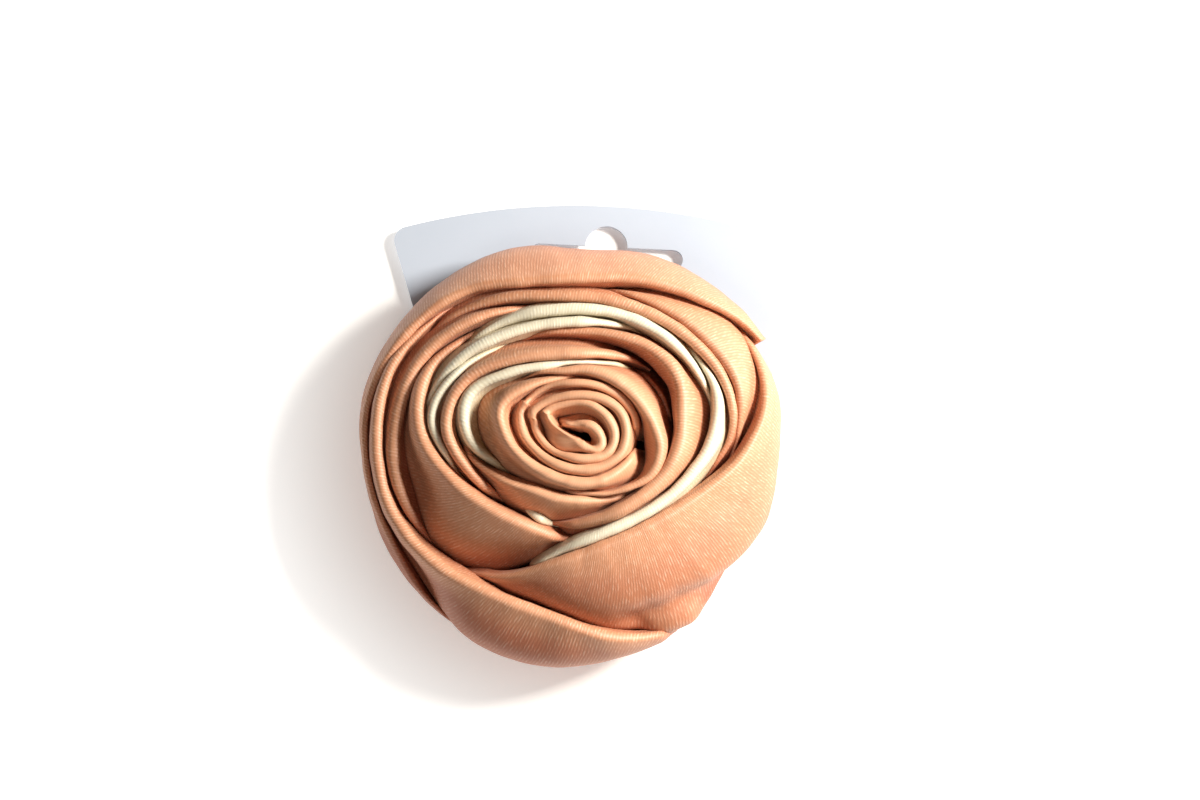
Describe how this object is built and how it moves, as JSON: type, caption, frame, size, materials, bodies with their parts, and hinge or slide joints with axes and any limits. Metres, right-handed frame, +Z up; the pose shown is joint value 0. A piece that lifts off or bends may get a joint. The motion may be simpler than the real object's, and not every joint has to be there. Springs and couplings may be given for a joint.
{
  "type": "fabric flower brooch on a display card",
  "caption": "Rolled satin rose brooch of folded peach and cream strips on a felt disc, pinned through a tapered white display card with a hang slot.",
  "frame": {"origin": "middle of the footprint's box, on the surface that the carded brooch lies on", "axes": "+Z up out of the flower's face, +Y towards the hang slot at the card's top, +X to the right seen from above"},
  "size_m": [0.0932, 0.0973, 0.0311],
  "materials": {
    "peach_satin": "woven satin, soft sheen",
    "cream_satin": "woven satin, soft sheen",
    "felt": "pressed felt",
    "white_card": "smooth card, slight gloss",
    "pin_steel": "plain plated wire"
  },
  "bodies": {
    "root": {"display_card": "white_card", "felt_backing": "felt", "pin_back": "pin_steel", "bud_core": "peach_satin", "bud_turn_inner": "peach_satin", "bud_turn_outer": "peach_satin", "bud_band": "peach_satin", "bud_petal_left": "peach_satin", "bud_petal_right": "peach_satin", "bud_sliver": "peach_satin", "cream_bud_fold": "cream_satin", "peach_petal_low": "peach_satin", "peach_petal_left": "peach_satin", "peach_roll_right": "peach_satin", "cream_fold_left": "cream_satin", "cream_fold_mid": "cream_satin", "cream_fold_top": "cream_satin", "cream_fold_right": "cream_satin", "wide_petal_left": "peach_satin", "band_top": "peach_satin", "band_left": "peach_satin", "petal_upper_right": "peach_satin", "outer_petal_right": "peach_satin", "outer_petal_low": "peach_satin", "outer_petal_top": "peach_satin"}
  },
  "joints": []
}
